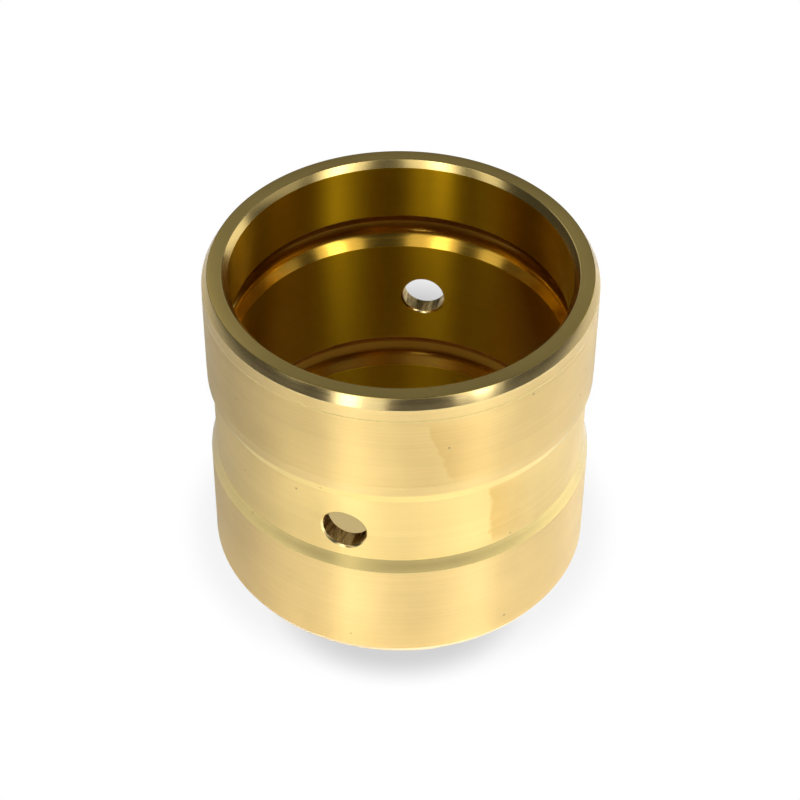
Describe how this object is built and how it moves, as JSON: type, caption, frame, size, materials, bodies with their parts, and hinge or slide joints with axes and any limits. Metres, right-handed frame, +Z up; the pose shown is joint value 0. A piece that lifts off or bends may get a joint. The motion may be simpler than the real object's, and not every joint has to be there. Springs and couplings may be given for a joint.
{
  "type": "sleeve bushing",
  "caption": "Bronze sleeve bushing that carries a turning pin, with lead-in chamfers, grease grooves inside and out, and grease holes through its wall.",
  "frame": {"origin": "centre of the bottom face, on the bore's axis, where the sleeve stands on a surface", "axes": "+Z up along the bore's axis; -Y points out through the front grease hole"},
  "size_m": [0.075, 0.075, 0.067],
  "materials": {
    "turned_bronze": "turned bronze, semi-bright, with fine tool marks around the axis"
  },
  "bodies": {
    "root": {"bushing_sleeve": "turned_bronze"}
  },
  "joints": []
}
